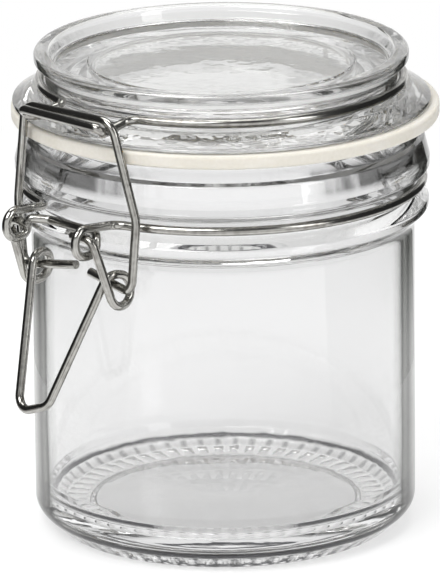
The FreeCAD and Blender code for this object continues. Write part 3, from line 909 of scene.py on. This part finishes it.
    def half_bail(self, place: ClosureSide) -> list[Station]:
        """Half of the bail at +X: pin through the coil, bowed leg, and the bar's corner."""
        pin = []
        for side, bend in ((place.pin_tip, 0.0), (place.bail_side, self.bend)):
            height = place.pin_height + self.pin_slope * (place.coil_side - side)
            pin.append(at(side, -self.coil_reach, height, bend))
        return pin + [at(self.knee[0], -self.knee[1], place.knee_height, self.knee_bend),
                      at(self.bar[0], -self.bar[1], place.bar_height, self.bar_bend)]

    def lever_wire(self) -> list[Station]:
        """Lever of one wire, from its stub in the right eyelet to the one in the left."""
        return self.half_lever(RIGHT) + mirrored(self.half_lever(LEFT), "x")[::-1]

    def bail_wire(self) -> list[Station]:
        """Bail of one wire, from its right pin over the bar to its left pin."""
        return self.half_bail(RIGHT) + mirrored(self.half_bail(LEFT), "x")[::-1]


@dataclass
class WireClosure:
    """The closure: neck wire, lid wire, lever and bail, all bent from one size of wire."""

    form: WireForm = field(default_factory=WireForm)
    sides: int = 24
    bend_steps: int = 12

    def sweep(self, name: str, stations: Sequence[Station], steel: bpy.types.Material) -> bpy.types.Mesh:
        """Sweep the wire along its stations.

        Args:
            name: the mesh's name.
            stations: its corners in order, with their bends.
            steel: its finish.

        Returns:
            The mesh, with sharp ends.
        """
        points = [point for point, _ in stations]
        bends = []
        for i, (point, bend) in enumerate(stations):
            if bend is Bend.KINK:
                back, ahead = points[i - 1] - point, points[i + 1] - point
                bend = self.form.kink / math.tan((math.pi - back.angle(ahead)) / 2)
            bends.append(bend * MM)
        seed = bpy.data.meshes.new(name + "_line")
        seed.from_pydata([point * MM for point in points], [(i, i + 1) for i in range(len(points) - 1)], [])
        seed.attributes.new("bend", "FLOAT", "POINT").data.foreach_set("value", bends)
        mesh = grown(name, seed, wire_tree(), Radius=self.form.diameter / 2 * MM, Sides=self.sides,
                     Bend_Steps=self.bend_steps, Finish=steel)
        face_outwards(mesh)
        mesh.set_sharp_from_angle(angle=math.radians(50))
        return mesh

    def build(self, steel: bpy.types.Material) -> None:
        """Make the four wires and put each in its body's place."""
        for name, body, stations, node in (
                ("neck_wire_loop", Body.JAR, self.form.neck_wire(), "neck_wire"),
                ("lid_wire_loop", Body.LID, self.form.lid_wire(), "lid_wire"),
                ("lever_handle_wire", Body.LEVER, self.form.lever_wire(), "lever_wire"),
                ("bail_loop_wire", Body.BAIL, self.form.bail_wire(), "bail_wire")):
            piece = stand(name, self.sweep(name, stations, steel), steel)
            register(piece, body, Slot.STEEL, node)


# ------------------------------------------------------------------ studio


@dataclass
class Studio:
    """Pale floor, soft lamps, dark cards for reflections and dark flags for sight lines through glass."""

    floor_radius: float = 6.0
    shade_radius: float = 0.34
    shade: float = 0.42
    fill: float = 0.55
    card_fade: tuple[float, float] = (0.13, 0.26)
    card_rim: tuple[Span, ...] = ((0.13, 0.002), (1.1, 0.002), (1.1, 1.3))
    flag_rim: tuple[Span, ...] = ((1.1, 0.13), (1.1, 1.3))
    ceiling: float = 0.10
    ceiling_from: tuple[float, float] = (0.25, 0.55)
    aim: Vector = field(default_factory=lambda: Vector((0.0, 0.0, 0.06)))

    def build(self) -> None:
        """Set up the world, the floor, the lamps and the cards."""
        self.world()
        self.floor()
        for name, turn, rise, distance, size, power in (
                ("key_softbox", -38.0, 52.0, 1.5, (1.0, 0.8), 18.0),
                ("fill_softbox", 55.0, 30.0, 1.7, (0.7, 1.2), 9.0),
                ("top_softbox", 180.0, 74.0, 1.4, (1.2, 0.7), 10.0)):
            self.lamp(name, turn, rise, distance, size, power)
        for side, first, last in (("left", -150.0, -52.0), ("right", 58.0, 150.0)):
            self.card("card_" + side, first, last, self.card_rim, False)
            self.card("flag_" + side, first, last, self.flag_rim, True)

    def around(self, turn: float, rise: float, distance: float) -> Vector:
        """Point at an angle round from the front of the view, a rise and a distance."""
        a, e = math.radians(VIEW_TURN + turn), math.radians(rise)
        return Vector((math.sin(a) * math.cos(e), -math.cos(a) * math.cos(e), math.sin(e))) * distance

    def world(self) -> None:
        """White walls under a dark ceiling for sight lines, a plain level for the light."""
        world = bpy.data.worlds.new("pale_room")
        bpy.context.scene.world = world
        world.use_nodes = True
        tree = Tree(world.node_tree)
        path = tree.add("ShaderNodeLightPath").outputs
        seen = tree.math("MAXIMUM", path["Is Camera Ray"],
                         tree.math("MAXIMUM", path["Is Glossy Ray"], path["Is Transmission Ray"]))
        rise = tree.add("ShaderNodeSeparateXYZ", {0: tree.add("ShaderNodeTexCoord").outputs["Generated"]})
        walls = tree.remap(rise.outputs[2], *self.ceiling_from, 1.0, self.ceiling, smooth=True)
        shown = tree.math("MAXIMUM", path["Is Camera Ray"], walls)
        light = tree.add("ShaderNodeBackground", {"Color": (1, 1, 1, 1), "Strength": self.fill})
        white = tree.add("ShaderNodeBackground", {"Color": (1, 1, 1, 1), "Strength": shown})
        mixed = tree.add("ShaderNodeMixShader", {0: seen, 1: light.outputs[0], 2: white.outputs[0]})
        tree.feed(tree.add("ShaderNodeOutputWorld").inputs["Surface"], mixed.outputs[0])

    def floor(self) -> None:
        """Pale round floor that keeps the object's shadow near it and is white further off."""
        mesh = bpy.data.meshes.new("floor")
        work = bmesh.new()
        bmesh.ops.create_circle(work, cap_ends=True, segments=96, radius=self.floor_radius)
        work.to_mesh(mesh)
        work.free()
        material = bpy.data.materials.new("pale_floor")
        material.use_nodes = True
        tree = Tree(material.node_tree)
        place = tree.add("ShaderNodeTexCoord").outputs["Object"]
        far = tree.add("ShaderNodeVectorMath", {0: place}, operation="LENGTH").outputs["Value"]
        near = tree.remap(far, 0.4 * self.shade_radius, self.shade_radius, self.shade, 0.0, smooth=True)
        paper = tree.add("ShaderNodeTexNoise", {"Vector": place, "Scale": 40.0, "Detail": 3.0}).outputs[0]
        tone = tree.mix(paper, (0.93, 0.93, 0.93, 1), (0.96, 0.96, 0.96, 1))
        matt = tree.add("ShaderNodeBsdfDiffuse", {"Color": tone})
        white = tree.add("ShaderNodeEmission", {"Color": (1, 1, 1, 1), "Strength": 1.0})
        seen = tree.add("ShaderNodeMixShader", {0: near, 1: white.outputs[0], 2: matt.outputs[0]})
        path = tree.add("ShaderNodeLightPath").outputs
        sight = tree.math("MAXIMUM", path["Is Camera Ray"],
                          tree.math("MAXIMUM", path["Is Glossy Ray"], path["Is Transmission Ray"]))
        mixed = tree.add("ShaderNodeMixShader", {0: sight, 1: matt.outputs[0], 2: seen.outputs[0]})
        tree.feed(tree.add("ShaderNodeOutputMaterial").inputs["Surface"], mixed.outputs[0])
        floor = stand("pale_floor", mesh, material)

    def lamp(self, name: str, turn: float, rise: float, distance: float, size: tuple[float, float],
             power: float) -> None:
        """Soft rectangular lamp aimed at the object."""
        data = bpy.data.lights.new(name, "AREA")
        data.shape = "RECTANGLE"
        data.size, data.size_y = size
        data.energy = power
        lamp = bpy.data.objects.new(name, data)
        bpy.context.scene.collection.objects.link(lamp)
        lamp.location = self.around(turn, rise, distance) + self.aim
        lamp.rotation_euler = (self.aim - lamp.location).to_track_quat("-Z", "Y").to_euler()

    def card(self, name: str, first: float, last: float, rim: Sequence[tuple[float, float]],
             through: bool) -> None:
        """Curved dark card on one side, which no camera, lamp or matt surface sees.

        Args:
            name: its name.
            first: angle round from the front of the view where it starts.
            last: angle where it ends.
            rim: distance and height of its edges and folds, from the lowest.
            through: whether sight lines through glass see it, instead of reflections.
        """
        steps = 24
        mesh = bpy.data.meshes.new(name)
        angles = [first + (last - first) * k / steps for k in range(steps + 1)]
        points = [self.around(angle, 0.0, distance) + Vector((0, 0, height))
                  for distance, height in rim for angle in angles]
        row = steps + 1
        faces = [(j * row + k, j * row + k + 1, (j + 1) * row + k + 1, (j + 1) * row + k)
                 for j in range(len(rim) - 1) for k in range(steps)]
        mesh.from_pydata(points, [], faces)
        material = bpy.data.materials.new(name + "_felt")
        material.use_nodes = True
        tree = Tree(material.node_tree)
        place = tree.add("ShaderNodeTexCoord").outputs["Object"]
        tone = tree.add("ShaderNodeTexNoise", {"Vector": place, "Scale": 6.0}).outputs[0]
        out = tree.add("ShaderNodeVectorMath", {0: place}, operation="LENGTH").outputs["Value"]
        shade = tree.remap(out, *self.card_fade, 0.9, 0.0, smooth=True)
        felt = tree.add("ShaderNodeEmission", {"Strength": tree.math("MULTIPLY_ADD", tone, 0.06, shade)})
        tree.feed(tree.add("ShaderNodeOutputMaterial").inputs["Surface"], felt.outputs[0])
        card = stand(name, mesh, material)
        card.visible_camera = False
        card.visible_diffuse = False
        card.visible_shadow = False
        card.visible_glossy = not through
        card.visible_transmission = through


@dataclass
class ViewCamera:
    """Camera above the jar on its +X -Y side, so that the closure shows at the left."""

    distance: float = 1.5
    height: float = 0.5008
    turn: float = VIEW_TURN
    pitch: float = 16.747
    roll: float = 0.578
    lens: float = 430.95
    shift: tuple[float, float] = (-0.0064, 0.0273)

    def build(self) -> None:
        """Create the camera and make it the scene's own."""
        data = bpy.data.cameras.new("view")
        data.sensor_width = 36.0
        data.lens = self.lens
        data.shift_x, data.shift_y = self.shift
        data.clip_start, data.clip_end = 0.1, 30.0
        camera = bpy.data.objects.new("view", data)
        bpy.context.scene.collection.objects.link(camera)
        turn, pitch, roll = (math.radians(v) for v in (self.turn, self.pitch, self.roll))
        ahead = Vector((-math.sin(turn), math.cos(turn), 0))
        look = ahead * math.cos(pitch) + Vector((0, 0, -math.sin(pitch)))
        up = ahead * math.sin(pitch) + Vector((0, 0, math.cos(pitch)))
        right = look.cross(up)
        tilted_up = up * math.cos(roll) + right * math.sin(roll)
        tilted_right = right * math.cos(roll) - up * math.sin(roll)
        pose = Matrix((tilted_right, tilted_up, -look)).transposed().to_4x4()
        pose.translation = Vector((0, 0, self.height)) - ahead * self.distance
        camera.matrix_world = pose
        bpy.context.scene.camera = camera


def let_light_through_glass(bounces: int) -> None:
    """Let paths turn often enough to leave thick glass, where fewer turns would end them black."""
    cycles = bpy.context.scene.cycles
    cycles.max_bounces = bounces
    cycles.transmission_bounces = bounces
    cycles.glossy_bounces = bounces


def main() -> None:
    """Build the jar, the studio and the camera, and note both boxes."""
    logging.basicConfig(level=logging.INFO, format="%(name)s: %(message)s")
    glass = PressedGlass().build()
    rubber = MouldedRubber().build()
    steel = DrawnSteel().build()
    GlassJar().build(glass)
    GlassLid().build(glass)
    SealRing().build(rubber)
    WireClosure().build(steel)
    Studio().build()
    ViewCamera().build()
    bpy.context.scene.view_settings.view_transform = "Standard"
    let_light_through_glass(bounces=32)


if __name__ == "__main__":
    main()
